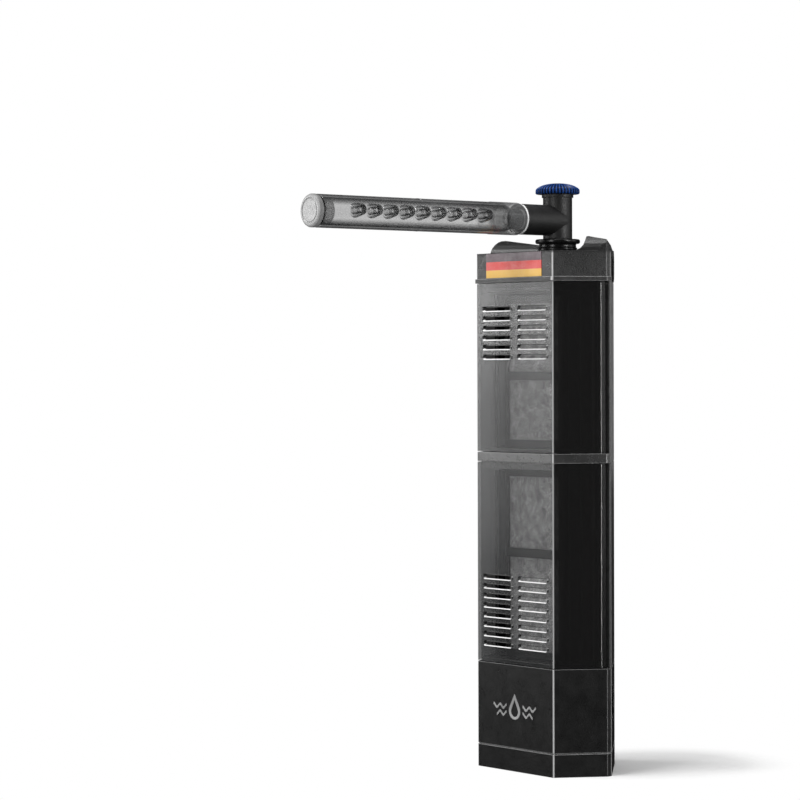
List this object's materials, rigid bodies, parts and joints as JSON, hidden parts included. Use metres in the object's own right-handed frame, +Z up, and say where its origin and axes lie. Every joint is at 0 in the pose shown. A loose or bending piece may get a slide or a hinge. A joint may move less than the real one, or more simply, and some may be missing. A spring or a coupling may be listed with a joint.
{
  "type": "internal power filter",
  "caption": "Corner aquarium filter: black pump base, two stacked modules with smoky slotted covers over foam, black cap with blue flow knob and a clear spray bar.",
  "frame": {"origin": "on the underside of the foot, below the axis of the outlet pipe", "axes": "+Z up along the outlet pipe, -Y out of the flat front with the slots, +X to the right as seen from the front"},
  "size_m": [0.1056, 0.2333, 0.3602],
  "materials": {
    "black_plastic": "satin moulded",
    "inner_plastic": "moulded",
    "white_plastic": "moulded",
    "smoke_clear": "smoky transparent",
    "shell": "dark smoky",
    "basket": "moulded",
    "foam": "open-cell foam",
    "ring_grey": "satin moulded",
    "badge": "satin",
    "sticker": "printed film",
    "cup_rubber": "soft translucent",
    "rubber": "matt",
    "knob_blue": "satin moulded",
    "steel": "stainless",
    "core_steel": "laminated",
    "copper": "enamelled copper",
    "ferrite": "sintered",
    "ceramic": "polished"
  },
  "bodies": {
    "base": {"base_foot": "black_plastic", "foot_pads": "rubber", "foot_screws": "steel", "base_housing": "black_plastic", "motor_can": "inner_plastic", "motor_mounts": "rubber", "stator_core": "core_steel", "stator_coil": "copper", "shaft": "ceramic", "bush_lower": "rubber", "bush_upper": "rubber", "volute_cover": "inner_plastic", "intake_strainer": "inner_plastic", "cable_gland": "rubber", "base_suction_cups": "cup_rubber", "emblem": "badge"},
    "rotor": {"rotor_magnet": "ferrite", "impeller": "white_plastic"},
    "lower_module": {"lower_rear_shell": "shell", "lower_basket": "basket", "lower_foam": "foam", "lower_riser": "inner_plastic", "module_ring": "ring_grey"},
    "lower_cover": {"lower_front_cover": "smoke_clear"},
    "upper_module": {"upper_rear_shell": "shell", "upper_basket": "basket", "upper_foam": "foam", "upper_riser": "inner_plastic"},
    "upper_cover": {"upper_front_cover": "smoke_clear"},
    "cap": {"top_cap": "black_plastic", "cap_seal": "rubber", "label_sticker": "sticker", "cap_suction_cups": "cup_rubber", "outlet_collar": "black_plastic"},
    "outlet": {"outlet_tee": "black_plastic", "knob_ring": "black_plastic", "outlet_oring": "rubber"},
    "knob": {"flow_knob": "knob_blue", "valve_barrel": "inner_plastic"},
    "bar": {"spray_bar": "smoke_clear", "bar_oring": "rubber"},
    "plug": {"end_plug": "smoke_clear"}
  },
  "joints": [
    {"name": "impeller_spin", "type": "hinge", "parent": "base", "child": "rotor", "pos_m": [0.0085, 0.01, 0.03], "axis": [0, 0, 1], "continuous": true},
    {"name": "lower_module_lift", "type": "slide", "parent": "base", "child": "lower_module", "axis": [0, 0, 1], "range_m": [0, 0.03]},
    {"name": "lower_cover_slide", "type": "slide", "parent": "lower_module", "child": "lower_cover", "axis": [0, -1, 0], "range_m": [0, 0.045]},
    {"name": "upper_module_lift", "type": "slide", "parent": "lower_module", "child": "upper_module", "axis": [0, 0, 1], "range_m": [0, 0.03]},
    {"name": "upper_cover_slide", "type": "slide", "parent": "upper_module", "child": "upper_cover", "axis": [0, -1, 0], "range_m": [0, 0.045]},
    {"name": "cap_lift", "type": "slide", "parent": "upper_module", "child": "cap", "axis": [0, 0, 1], "range_m": [0, 0.03]},
    {"name": "outlet_swivel", "type": "hinge", "parent": "cap", "child": "outlet", "pos_m": [0, 0, 0.33], "axis": [0, 0, 1], "continuous": true},
    {"name": "knob_turn", "type": "hinge", "parent": "outlet", "child": "knob", "pos_m": [0, 0, 0.355], "axis": [0, 0, 1], "range_deg": [0, 90]},
    {"name": "spray_bar_roll", "type": "hinge", "parent": "outlet", "child": "bar", "pos_m": [0, -0.05, 0.3372], "axis": [0, -1, 0], "continuous": true},
    {"name": "end_plug_pull", "type": "slide", "parent": "bar", "child": "plug", "axis": [0, -1, 0], "range_m": [0, 0.02]}
  ]
}
